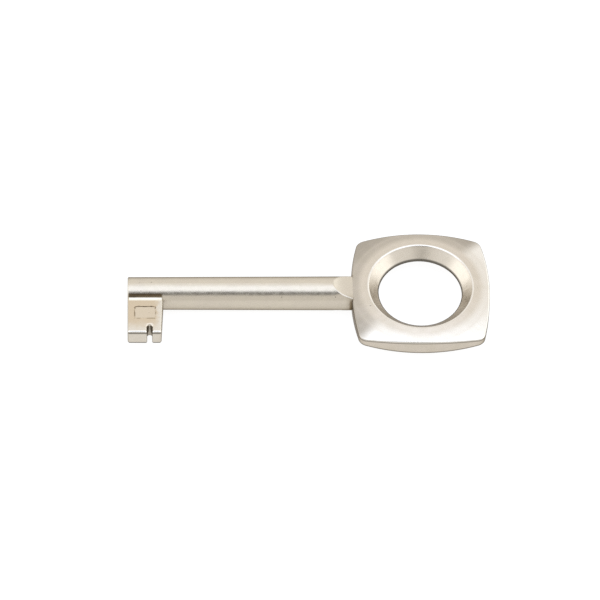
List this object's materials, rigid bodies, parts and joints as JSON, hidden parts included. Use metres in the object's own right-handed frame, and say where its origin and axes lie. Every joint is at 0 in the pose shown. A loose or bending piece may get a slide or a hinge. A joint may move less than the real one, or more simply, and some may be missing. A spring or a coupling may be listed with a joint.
{
  "type": "flag bit key",
  "caption": "Flag-bit key with a domed cushion-shaped bow, a funnel-shaped ring hole, a round shank scooped flat at the neck and a slotted bit at the tip.",
  "frame": {"origin": "centre of the flat end face at the shank's tip, on the shank's axis", "axes": "+X along the shank from the tip to the bow, -Y the way the bit points, +Z normal to the flat of the bow"},
  "size_m": [0.0656, 0.0252, 0.0062],
  "materials": {
    "bow": "satin nickel plate over a casting",
    "shank": "satin nickel plate over steel rod",
    "bit": "warm satin nickel plate, thin and slightly worn",
    "braze": "brazing filler under satin nickel plate"
  },
  "bodies": {
    "root": {"bow": "bow", "shank": "shank", "bit": "bit", "bit_braze_fillets": "braze"}
  },
  "joints": []
}
